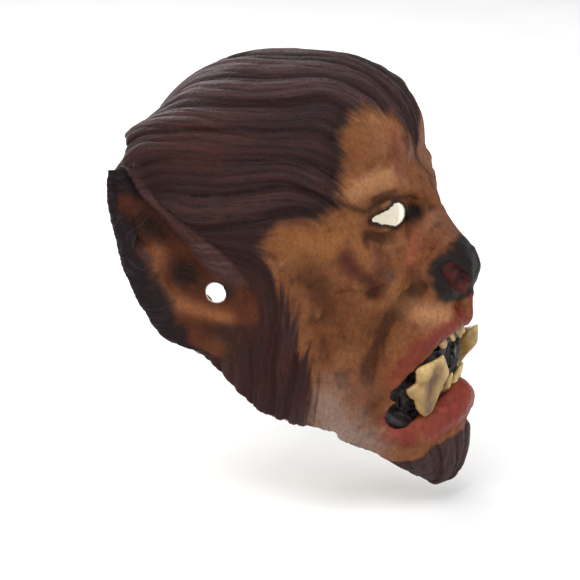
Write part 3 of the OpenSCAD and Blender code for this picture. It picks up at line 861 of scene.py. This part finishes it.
class Nodes:
    """Builds a material's nodes, and links them by name."""

    def __init__(self, name):
        self.material = bpy.data.materials.new(name)
        self.material.use_nodes = True
        self.tree = self.material.node_tree
        self.shader = self.tree.nodes["Principled BSDF"]

    def add(self, kind, **settings):
        node = self.tree.nodes.new("ShaderNode" + kind)
        for key, value in settings.items():
            if hasattr(node, key):
                setattr(node, key, value)
            else:
                self.put(node, key, value)
        return node

    def put(self, node, key, value):
        socket = node.inputs[key.replace("_", " ") if isinstance(key, str) else key]
        if isinstance(value, bpy.types.NodeSocket):
            self.tree.links.new(value, socket)
        else:
            socket.default_value = value

    def attribute(self, name, output="Fac"):
        return self.add("Attribute", attribute_name=name).outputs[output]

    def math(self, operation, a, b=0.0, c=0.0):
        node = self.add("Math", operation=operation)
        for i, value in enumerate((a, b, c)):
            self.put(node, i, value)
        return node.outputs[0]

    def noise(self, vector, scale, detail=4.0, roughness=0.5):
        node = self.add("TexNoise", Vector=vector, Scale=scale, Detail=detail, Roughness=roughness)
        return node.outputs["Fac"]

    def vector(self, x, y, z):
        return self.add("CombineXYZ", X=x, Y=y, Z=z).outputs[0]

    def ramp(self, value, low, high, to_low=0.0, to_high=1.0):
        node = self.add("MapRange", Value=value)
        for key, number in (("From Min", low), ("From Max", high), ("To Min", to_low), ("To Max", to_high)):
            self.put(node, key, number)
        return node.outputs[0]

    def blend(self, factor, a, b, kind="MIX"):
        node = self.add("Mix", data_type="RGBA", blend_type=kind)
        for index, value in ((0, factor), (6, a), (7, b)):
            self.put(node, index, value)
        return node.outputs[2]

    def stain(self, paint, colour, pattern, low, high, amounts, area=None):
        """Lays a colour over the paint by a pattern, from one amount to another, all over or in one area."""
        factor = self.ramp(pattern, low, high, *amounts)
        if area is not None:
            factor = self.math("MULTIPLY", area, factor)
        return self.blend(factor, paint, colour + (1.0,))

    def bump(self, height, strength, distance, normal=None):
        node = self.add("Bump", Height=height, Strength=strength, Distance=distance)
        if normal is not None:
            self.put(node, "Normal", normal)
        return node.outputs[0]

    def finish(self, **sockets):
        for key, value in sockets.items():
            self.put(self.shader, key, value)
        return self.material


def object_place(nodes):
    return nodes.add("TexCoord").outputs["Object"]


def grey(value):
    return (value, value, value, 1.0)


def painted_latex():
    n = Nodes("painted_latex")
    place = object_place(n)
    fur = n.attribute("fur")
    outer = n.attribute("outer")
    across = n.attribute("across")
    along = n.attribute("along")
    paint = n.attribute("paint", "Color")
    bare = n.attribute("pores")
    strands = n.noise(n.vector(across, n.math("MULTIPLY", along, 0.05), 0.0), 0.9, 4.0, 0.6)
    short = n.noise(n.vector(across, n.math("MULTIPLY", along, 0.16), 0.0), 0.7, 3.0, 0.6)
    grain = n.noise(place, 420.0, 5.0, 0.6)
    specks = n.noise(place, 1100.0, 3.0, 0.6)
    colour = n.stain(paint, (0.012, 0.008, 0.010), strands, 0.42, 0.62, (0.0, 0.75), fur)
    # lighter strands over the hair: a painted sheen
    colour = n.stain(colour, (0.11, 0.07, 0.07), strands, 0.56, 0.72, (0.0, 0.25), fur)
    colour = n.stain(colour, (0.075, 0.032, 0.015), short, 0.50, 0.72, (0.0, 0.38), bare)
    colour = n.stain(colour, (0.34, 0.20, 0.11), specks, 0.55, 0.78, (0.0, 0.12), bare)
    colour = n.stain(colour, (0.020, 0.010, 0.007), grain, 0.32, 0.56, (0.28, 0.0), outer)
    cells = n.add("TexVoronoi", Vector=place, Scale=520.0, feature="SMOOTH_F1").outputs["Distance"]
    pore_height = n.math("ADD", n.math("MULTIPLY", cells, 0.6), n.math("MULTIPLY", grain, 0.8))
    normal = n.bump(pore_height, 0.7, 0.0010)
    normal = n.bump(n.math("MULTIPLY", strands, fur), 0.7, 0.0012, normal)
    normal = n.bump(n.math("MULTIPLY", short, bare), 0.45, 0.0009, normal)
    gloss = n.attribute("gloss")
    rough = n.math("SUBTRACT", n.ramp(grain, 0.3, 0.7, 0.60, 0.46), n.math("MULTIPLY", gloss, 0.26))
    shine = n.ramp(gloss, 0.0, 1.0, 0.04, 0.45)
    return n.finish(Base_Color=colour, Roughness=rough, Normal=normal, Specular_IOR_Level=shine)


def mouth_latex():
    n = Nodes("mouth_latex")
    place = object_place(n)
    cloud = n.noise(place, 120.0, 4.0, 0.6)
    paint = n.attribute("paint", "Color")
    colour = n.stain(paint, (0.018, 0.010, 0.012), cloud, 0.45, 0.7, (0.0, 0.5))
    wrinkles = n.noise(place, 300.0, 5.0, 0.65)
    normal = n.bump(wrinkles, 0.6, 0.0012)
    return n.finish(Base_Color=colour, Roughness=n.ramp(wrinkles, 0.35, 0.65, 0.38, 0.6), Normal=normal)


def tooth_resin():
    n = Nodes("tooth_resin")
    place = object_place(n)
    stretched = n.add("Mapping", Vector=place, Scale=(1.0, 1.0, 0.22)).outputs[0]
    streak = n.noise(stretched, 460.0, 5.0, 0.6)
    speck = n.noise(place, 900.0, 3.0, 0.6)
    paint = n.attribute("paint", "Color")
    colour = n.stain(paint, (0.30, 0.16, 0.055), streak, 0.48, 0.68, (0.0, 0.55))
    colour = n.stain(colour, (0.16, 0.075, 0.03), speck, 0.60, 0.72, (0.0, 0.6))
    normal = n.bump(streak, 0.35, 0.0006)
    rough = n.ramp(speck, 0.3, 0.7, 0.34, 0.52)
    return n.finish(Base_Color=colour, Roughness=rough, Normal=normal, Coat_Weight=0.25, Coat_Roughness=0.25)


def bare_latex():
    n = Nodes("bare_latex")
    place = object_place(n)
    cloud = n.noise(place, 60.0, 4.0, 0.55)
    colour = n.blend(n.ramp(cloud, 0.35, 0.65), (0.62, 0.53, 0.38, 1), (0.72, 0.65, 0.50, 1))
    fine = n.noise(place, 500.0, 4.0, 0.6)
    normal = n.bump(fine, 0.5, 0.0006)
    return n.finish(Base_Color=colour, Roughness=n.ramp(fine, 0.3, 0.7, 0.55, 0.72), Normal=normal)


def rivet_metal():
    n = Nodes("rivet_metal")
    place = object_place(n)
    brushed = n.noise(n.add("Mapping", Vector=place, Scale=(0.2, 1.0, 1.0)).outputs[0], 1500.0, 4.0, 0.6)
    smudge = n.noise(place, 260.0, 3.0, 0.5)
    colour = n.blend(n.ramp(smudge, 0.40, 0.65), (0.62, 0.60, 0.55, 1), (0.42, 0.40, 0.36, 1))
    normal = n.bump(brushed, 0.25, 0.0002)
    return n.finish(Base_Color=colour, Metallic=1.0, Roughness=n.ramp(smudge, 0.3, 0.7, 0.24, 0.42),
                    Normal=normal)


def woven_elastic():
    n = Nodes("woven_elastic")
    across = n.attribute("across")
    along = n.attribute("along")
    ribs = n.math("SINE", n.math("MULTIPLY", across, math.tau / RIB_PITCH))
    threads = n.math("SINE", n.math("MULTIPLY", along, math.tau / THREAD_PITCH))
    weave = n.math("MULTIPLY", ribs, threads)
    fuzz = n.noise(object_place(n), 1800.0, 3.0, 0.6)
    shade = n.math("ADD", n.ramp(weave, -1.0, 1.0, 0.0, 0.6), n.math("MULTIPLY", fuzz, 0.4))
    colour = n.blend(shade, (0.006, 0.006, 0.007, 1), (0.030, 0.029, 0.032, 1))
    normal = n.bump(n.math("ADD", weave, fuzz), 0.6, 0.0004)
    return n.finish(Base_Color=colour, Roughness=n.ramp(fuzz, 0.3, 0.7, 0.75, 0.92), Normal=normal,
                    Sheen_Weight=0.3)


def floor_paint():
    n = Nodes("floor_paint")
    fibre = n.noise(object_place(n), 9.0, 5.0, 0.5)
    colour = n.blend(n.ramp(fibre, 0.3, 0.7), (0.80, 0.80, 0.80, 1), (0.84, 0.84, 0.84, 1))
    return n.finish(Base_Color=colour, Roughness=n.ramp(fibre, 0.3, 0.7, 0.80, 0.88))


# ------------ Teeth ------------

FANG_MIDDLE = np.array([33.5, -114.5])  # x and y
FANG_ACROSS = np.array([0.683, 0.730])  # unit direction of the blade, outwards and back
FANG_OUTLINE = [  # place across the blade, and height
    (-8.4, -46), (-0.8, -49.4), (7.2, -51.6), (11.4, -54.7), (11.2, -62.5), (18.3, -66.2), (15.4, -72.1),
    (12.4, -74), (10.5, -80.5), (4.9, -86.1), (-0.8, -83.4), (-4, -76), (-7.8, -67.4), (-12.4, -59.5),
    (-11.3, -53.6)]
FANG_FOOT = -88
LEAN_REACH = 60
FANG_TIP = -48
SET_BACK = 24.0  # how far back a turned fang is set
FANG_GROOVE = np.array([[-3.0, -55.0], [2.5, -64.0], [3.5, -73.0], [2.5, -82.0]])
STANCE = {"left": (0.30, 5.0, 0.30), "right": (0.0, 0.0, 0.0)}  # lean forwards, lift, and turn in radians


def fang_place(p, stance):
    """Place across the blade, distance in front of its middle, and height."""
    lean, lift, turn = stance
    out = FANG_ACROSS[0] * math.cos(turn) - FANG_ACROSS[1] * math.sin(turn)
    back = FANG_ACROSS[0] * math.sin(turn) + FANG_ACROSS[1] * math.cos(turn)
    height = p[:, 2] - lift
    forwards = lean * np.clip(height - FANG_FOOT, 0, LEAN_REACH)
    x, y = p[:, 0] - FANG_MIDDLE[0], p[:, 1] - FANG_MIDDLE[1] + forwards
    y = y - SET_BACK * turn
    return x * out + y * back, x * back - y * out, height


def groove_depth(across, height, half_width=4.0):
    """1 along the groove down the front of a fang, fading out beside it."""
    near = nearest_on_path(np.stack([across, height], 1), FANG_GROOVE)[0]
    return np.exp(-(near / half_width) ** 2)


def fang_solid(stance):
    """Distance to a lower fang, a swollen blade with a jagged outline and a groove."""
    outline = [tuple(q) for q in spline(FANG_OUTLINE + FANG_OUTLINE[:1], 2)[:-1]]

    def distance(q):
        p = folded(q)
        across, front, height = fang_place(p, stance)
        edge = outline_distance(across, height, outline)
        inside = np.clip(-edge, 0, 9)
        half = 1.0 + 1.05 * inside - 0.055 * inside ** 2
        half = half + np.where(front > 0, -2.6 * groove_depth(across, height), 0)
        swirl = 0.35 * streaks(across, height, 2.2, 9, 201)
        return soft_max(np.abs(front) - np.maximum(half, 0.8) + swirl, edge, 1.2) * 0.8
    return distance


TOOTH_ROWS = {  # root, tip, and their radii, for one side
    "upper_teeth": [((3.4, -119, -31), (3.4, -124.5, -39), 3.2, 2.1),
                    ((10.5, -117, -32), (10.5, -122, -40), 3.2, 2.1),
                    ((19.5, -112, -35), (20, -118, -41), 4.6, 3.5),
                    ((28, -104, -41), (28.5, -109, -48), 3.2, 1.6)],
    "lower_teeth": [((3.4, -118, -78), (3.2, -124.5, -61), 3.8, 1.3),
                    ((10, -116, -78), (10.5, -121.5, -64), 3.8, 1.3),
                    ((17, -113, -78), (17.5, -117.5, -66), 3.4, 1.0)],
}
GUMS = {"upper_teeth": ((0, -119, -31), (14, -116, -32), (29, -104, -40)),
        "lower_teeth": ((0, -118, -78), (10, -116, -78), (18, -112, -78))}
GUM_R = (3.4, 3.4, 3.2)
FANG_BOX = ((14, -136, -96), (54, -92, -34))
ROW_BOX = {"upper_teeth": ((-36, -132, -60), (36, -96, -26)),
           "lower_teeth": ((-26, -132, -94), (26, -104, -60))}
ROW_TIPS = {"upper_teeth": (-45, 1), "lower_teeth": (-61, -1)}  # height, and which way the roots are
GUM_EDGE = {"upper_teeth": (7.5, 10.5), "lower_teeth": (11, 14)}  # distance from the tips


def row_solid(name):
    """Distance to a row of small teeth, joined by their gum."""
    def distance(q):
        p = folded(q)
        best = np.full(len(p), 1e9)
        for number, (root, tip, wide, narrow) in enumerate(TOOTH_ROWS[name]):
            root, tip = np.array(root, float), np.array(tip, float)
            bend = np.where(q[:, 0] > 0, 1, -1) * 0.5 * lattice(np.int64(number), 1, 2, 7)
            side = p + np.stack([bend, 0 * bend, bend], 1)
            h = np.clip(((side - root) @ (tip - root)) / ((tip - root) @ (tip - root)), 0, 1)
            away = (side - root - h[:, None] * (tip - root)) * [1, 1.25, 1]
            best = soft_min(best, np.linalg.norm(away, axis=1) - mix(wide, narrow, h ** 1.6), 0.8)
        best = soft_min(best, ridge(p, GUMS[name], GUM_R), 2.0)
        return best + 0.25 * noise_at(q, 3.0, 211, 2)
    return distance


def paint_teeth(points, tip_distance, groove):
    """Pale at the tips, ochre towards the root, brown in the groove: partly a stain, partly painted shade of
    the hollow.
    """
    return coats(all_over("#a18045", len(points)),
                 (0.8 * smooth(-tip_distance, -16, -1), "#c9ae70"),
                 (0.7 * smooth(noise_at(points, 7, 221, 3), -0.1, 0.9), "#7c5c2c"),
                 # brown in the groove, partly stain and partly painted shade
                 (0.92 * groove, "#4c2f16"))


def make_teeth(material):
    pieces = []
    for side, sign in (("left", 1), ("right", -1)):
        points, quads = sculpted(fang_solid(STANCE[side]), FANG_BOX, TOOTH_VOXEL)
        across, front, height = fang_place(points, STANCE[side])
        groove = groove_depth(across, height, 4.2) * (front > 0)
        colours = paint_teeth(points, FANG_TIP - height, groove)
        if sign < 0:
            points, quads = points * [-1, 1, 1], quads[:, ::-1]
        pieces.append(make_object(f"fang_{side}_resin", points, quads, material, {"paint": colours}))
        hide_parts(f"fang_{side}")
    for name, (tip_z, to_root) in ROW_TIPS.items():
        points, quads = sculpted(row_solid(name), ROW_BOX[name], TOOTH_VOXEL)
        tips = (points[:, 2] - tip_z) * to_root
        gum = smooth(tips, *GUM_EDGE[name])
        colours = spray(paint_teeth(points, -tips, 0 * tips), gum, "#20151a")
        pieces.append(make_object(name + "_resin", points, quads, material, {"paint": colours}))
        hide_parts(name)
    for piece in pieces:
        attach(piece, "mask")


# ------------ Mouth liner and strap patches, inside the skin ------------

LINER_CENTRE = (0, -62)  # x and z
LINER_REACH = (56, 49)
LINER_HALF = 1.7  # half its thickness
LINER_BACK_Y = -60
LINER_BOX = ((-54, -132, -110), (54, -52, -14))
POCKET = 7.0  # how much further back it lies behind the corners of the mouth


def liner_solid(q):
    """Distance to the black sheet behind the teeth, with webs that stand out from it."""
    p = folded(q)
    u = (p[:, 0] - LINER_CENTRE[0]) / LINER_REACH[0]
    v = (p[:, 2] - LINER_CENTRE[1]) / LINER_REACH[1]
    from_middle = np.hypot(u, v)
    pocket = POCKET * smooth(1 - from_middle, 0.05, 0.3) * smooth(p[:, 0], 14, 28)
    torn = np.abs(noise_at(q, 9, 231, 2))
    webs = 4.5 * smooth(0.5 - torn, 0, 0.5) * smooth(1 - from_middle, 0.1, 0.4)
    depth = WALL + LINER_HALF + 0.2 + 3.0 * smooth(1 - from_middle, 0.2, 0.6) + pocket - webs
    sheet = np.abs(head_form(p) + depth) - LINER_HALF
    edge = (from_middle - 1) * min(LINER_REACH)
    return soft_max(soft_max(sheet, edge, 1.0), p[:, 1] - LINER_BACK_Y, 1.0)


def make_liner(material):
    points, quads = sculpted(liner_solid, LINER_BOX, SKIN_VOXEL * 0.8)
    colours = coats(all_over("#120b0e", len(points)),
                    (0.5 * smooth(np.abs(points[:, 0]), 16, 30), "#27141a"),
                    (0.5 * smooth(noise_at(points, 8, 241, 2), 0, 1), "#2c191f"))
    piece = make_object("mouth_liner_latex", points, quads, material, {"paint": colours})
    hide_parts("mouth_liner")
    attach(piece, "mask")


HINGE = (30.0, -16.0)  # y and z of the rivets
PATCH_R = 10.0
PATCH_BOX = ((55, 14, -32), (92, 46, 0))
PATCH_IN = 6.0  # depth of the patch's inner face under the outer surface


def patch_solid(q):
    """Distance to the left strap patch, a round sheet along the inside of the wall."""
    outer_depth = WALL - 0.2
    middle, half = (PATCH_IN + outer_depth) / 2, (PATCH_IN - outer_depth) / 2
    sheet = np.abs(head_form(q) + middle) - half
    edge = np.hypot(q[:, 1] - HINGE[0], q[:, 2] - HINGE[1]) - PATCH_R
    return soft_max(sheet, edge + 0.4 * noise_at(q, 5, 251), 1.2)


def make_patches(material):
    points, quads = sculpted(patch_solid, PATCH_BOX, TOOTH_VOXEL)
    for side, sign in (("left", 1), ("right", -1)):
        faces = quads if sign > 0 else quads[:, ::-1]
        piece = make_object(f"strap_patch_{side}_latex", points * [sign, 1, 1], faces, material)
        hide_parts(f"strap_patch_{side}")
        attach(piece, "mask")


# ------------ Elastic strap ------------

RIB_PITCH = 1.25
THREAD_PITCH = 0.9
STRAP_W = 20.0
STRAP_END = STRAP_W / 2  # radius of its round ends
STRAP_CELL = 0.5
SNAP_BAND = 0.26
STRAP_T = 1.5
STRAP_STRAIGHT = 8.0
STRAP_DROP = 48.0
EYELET_TUBE_R = 2.75
RIB_HEIGHT = 0.12


def thick_sheet(outer, inner, keep):
    """Closed mesh between two grids of points, where the cells are kept, and which points it uses."""
    rows, columns = keep.shape
    number = np.arange((rows + 1) * (columns + 1)).reshape(rows + 1, columns + 1)
    other = number + number.size
    padded = np.pad(keep, 1)
    corners = [number[:-1, :-1], number[1:, :-1], number[1:, 1:], number[:-1, 1:]]
    backs = [other[:-1, :-1], other[1:, :-1], other[1:, 1:], other[:-1, 1:]]
    faces = [np.stack([c[keep] for c in corners], 1), np.stack([c[keep] for c in backs[::-1]], 1)]
    neighbours = [padded[1:-1, :-2], padded[2:, 1:-1], padded[1:-1, 2:], padded[:-2, 1:-1]]
    for k, neighbour in enumerate(neighbours):
        edge = keep & ~neighbour
        a, b = corners[k][edge], corners[(k + 1) % 4][edge]
        c, d = backs[(k + 1) % 4][edge], backs[k][edge]
        faces.append(np.stack([b, a, d, c], 1))
    points = np.vstack([outer.reshape(-1, 3), inner.reshape(-1, 3)])
    faces = np.vstack(faces)
    used, compact = np.unique(faces, return_inverse=True)
    return points[used], compact.reshape(faces.shape), used


def strap_line(face_x):
    """x and z of the strap's middle, down one end, round the half ellipse and up, and the length so far."""
    drop = STRAP_DROP - STRAP_STRAIGHT
    turn = np.radians(np.linspace(0, 180, 721))
    curve = np.stack([face_x * np.cos(turn), -STRAP_STRAIGHT - drop * np.sin(turn)], 1)
    line = np.vstack([[(face_x, STRAP_END)], curve, [(-face_x, STRAP_END)]])
    lengths = np.concatenate([[0], np.cumsum(np.linalg.norm(np.diff(line, axis=0), axis=1))])
    return line, lengths


def snap_to_circle(along, across, centre, radius, band):
    """Moves the grid points nearest to a circle onto it."""
    reach = np.hypot(along - centre, across)
    near = np.abs(reach - radius) < band
    scale = np.where(near, radius / np.maximum(reach, 1e-6), 1)
    return centre + (along - centre) * scale, across * scale


def strap_grid(length):
    """Places along and across the flat strap, with grid lines on its round ends and eyelet holes."""
    along, across = np.meshgrid(np.linspace(0, length, round(length / STRAP_CELL) + 1),
                                np.linspace(-STRAP_END, STRAP_END, round(STRAP_W / STRAP_CELL) + 1),
                                indexing="ij")
    for centre in (STRAP_END, length - STRAP_END):
        for radius in (EYELET_TUBE_R, STRAP_END):
            at_end = (along < STRAP_END) | (along > length - STRAP_END)
            moved = snap_to_circle(along, across, centre, radius, SNAP_BAND)
            use = (np.abs(along - centre) < STRAP_END + 1) & (at_end | (radius < STRAP_END))
            along, across = np.where(use, moved[0], along), np.where(use, moved[1], across)
    return along, across


def strap_cells(along, across, length):
    """Which cells of the grid are strap: not past its round ends and not in an eyelet hole."""
    along = (along[:-1, :-1] + along[1:, 1:]) / 2
    across = (across[:-1, :-1] + across[1:, 1:]) / 2
    keep = np.ones(along.shape, bool)
    for centre, beyond in ((STRAP_END, along < STRAP_END), (length - STRAP_END, along > length - STRAP_END)):
        reach = np.hypot(along - centre, across)
        keep &= ~(beyond & (reach > STRAP_END)) & (reach > EYELET_TUBE_R)
    return keep


def make_strap(material):
    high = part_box("elastic_strap")[1]
    line, lengths = strap_line(high.x / MM - STRAP_T / 2)
    along, across = strap_grid(lengths[-1])
    keep = strap_cells(along, across, lengths[-1])

    def place(at):
        return np.stack([np.interp(at, lengths, line[:, k]) for k in (0, 1)], -1)

    x, z = place(along)[..., 0], place(along)[..., 1]
    ahead = place(along + 0.1) - place(along - 0.1)
    ahead = ahead / (np.linalg.norm(ahead, axis=-1, keepdims=True) + 1e-9)
    normal = np.stack([-ahead[..., 1], 0 * x, ahead[..., 0]], -1)
    middle = np.stack([x, HINGE[0] + across, HINGE[1] + z], -1)
    selvedge = smooth(np.abs(across), STRAP_END - 1.2, STRAP_END - 0.4)
    rib = RIB_HEIGHT * np.cos(across * math.tau / RIB_PITCH) * (1 - selvedge)
    thick = (STRAP_T / 2 - 0.15 * selvedge + rib - RIB_HEIGHT)[..., None]
    points, faces, used = thick_sheet(middle + normal * thick, middle - normal * thick, keep)
    values = {"across": np.tile(across.ravel(), 2)[used], "along": np.tile(along.ravel(), 2)[used]}
    strap = make_object("elastic_strap_band", points, faces, material, values)
    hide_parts("elastic_strap")
    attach(strap, "strap")


# ------------ Everything together ------------

FLOOR_Z = -150.0
FLOOR_REACH = 8000
FLOOR_CELLS = 16
VIEW_AZIMUTH = math.radians(-72)
VIEW_HEIGHT = math.radians(16)
CAMERA_REACH = 2.6
LENS = 247.0
TARGET_RIGHT = 7.8  # mm from the origin to the middle of the picture
TARGET_UP = -20.3


def make_skin(material):
    points, quads, attributes = sculpt_skin()
    skin = make_object("latex_skin", points, quads, material, attributes)
    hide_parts("latex_shell")
    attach(skin, "mask")


def finish_metal(material):
    for part in ("rivet", "rivet_cap", "eyelet"):
        for side in ("right", "left"):
            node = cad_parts[f"{part}_{side}"]
            node.data.materials.clear()
            node.data.materials.append(material)


def make_floor(material):
    """Wide pale floor just under the chin tuft."""
    places = np.linspace(-FLOOR_REACH, FLOOR_REACH, FLOOR_CELLS + 1)
    x, y = np.meshgrid(places, places, indexing="ij")
    points = np.stack([x, y, np.full_like(x, FLOOR_Z)], -1).reshape(-1, 3)
    count = FLOOR_CELLS + 1
    faces = [(i * count + k, (i + 1) * count + k, (i + 1) * count + k + 1, i * count + k + 1)
             for i in range(FLOOR_CELLS) for k in range(FLOOR_CELLS)]
    make_object("floor", points, faces, material)


def view_axes():
    a, e = VIEW_AZIMUTH, VIEW_HEIGHT
    back = Vector((math.sin(a) * math.cos(e), -math.cos(a) * math.cos(e), math.sin(e)))
    right = Vector((math.cos(a), math.sin(a), 0))
    return back, right, back.cross(right)


def aim(obj, place, target):
    obj.location = place
    obj.rotation_euler = (Vector(target) - Vector(place)).to_track_quat("-Z", "Y").to_euler()


def place_camera():
    back, right, up = view_axes()
    target = (TARGET_RIGHT * right + TARGET_UP * up) * MM
    camera = bpy.data.objects.new("camera", bpy.data.cameras.new("camera"))
    bpy.context.scene.collection.objects.link(camera)
    camera.data.lens = LENS
    camera.data.clip_end = 10
    aim(camera, target + back * CAMERA_REACH, target)
    bpy.context.scene.camera = camera


def place_lights():
    back, right, up = view_axes()
    for name, place, size, watts in (
            ("key", back * 1.1 - right * 0.3 + up * 1.3, 1.2, 17),
            ("fill", back * 1.2 + right * 1.2 + up * 0.1, 1.2, 7),
            ("rim", -back * 0.9 - right * 0.5 + up * 1.0, 0.8, 9),
            ("inside", Vector((0.25, 1.2, -0.05)), 0.8, 16)):
        light = bpy.data.objects.new(name, bpy.data.lights.new(name, "AREA"))
        light.data.size = size
        light.data.energy = watts
        bpy.context.scene.collection.objects.link(light)
        aim(light, place, (0, 0, 0))
    world = bpy.data.worlds.new("studio")
    world.use_nodes = True
    world.node_tree.nodes["Background"].inputs["Color"].default_value = grey(1.0)
    world.node_tree.nodes["Background"].inputs["Strength"].default_value = 0.8
    bpy.context.scene.world = world
    bpy.context.scene.view_settings.view_transform = "Standard"


make_skin(painted_latex())
make_liner(mouth_latex())
make_teeth(tooth_resin())
make_patches(bare_latex())
make_strap(woven_elastic())
finish_metal(rivet_metal())
make_floor(floor_paint())
place_camera()
place_lights()
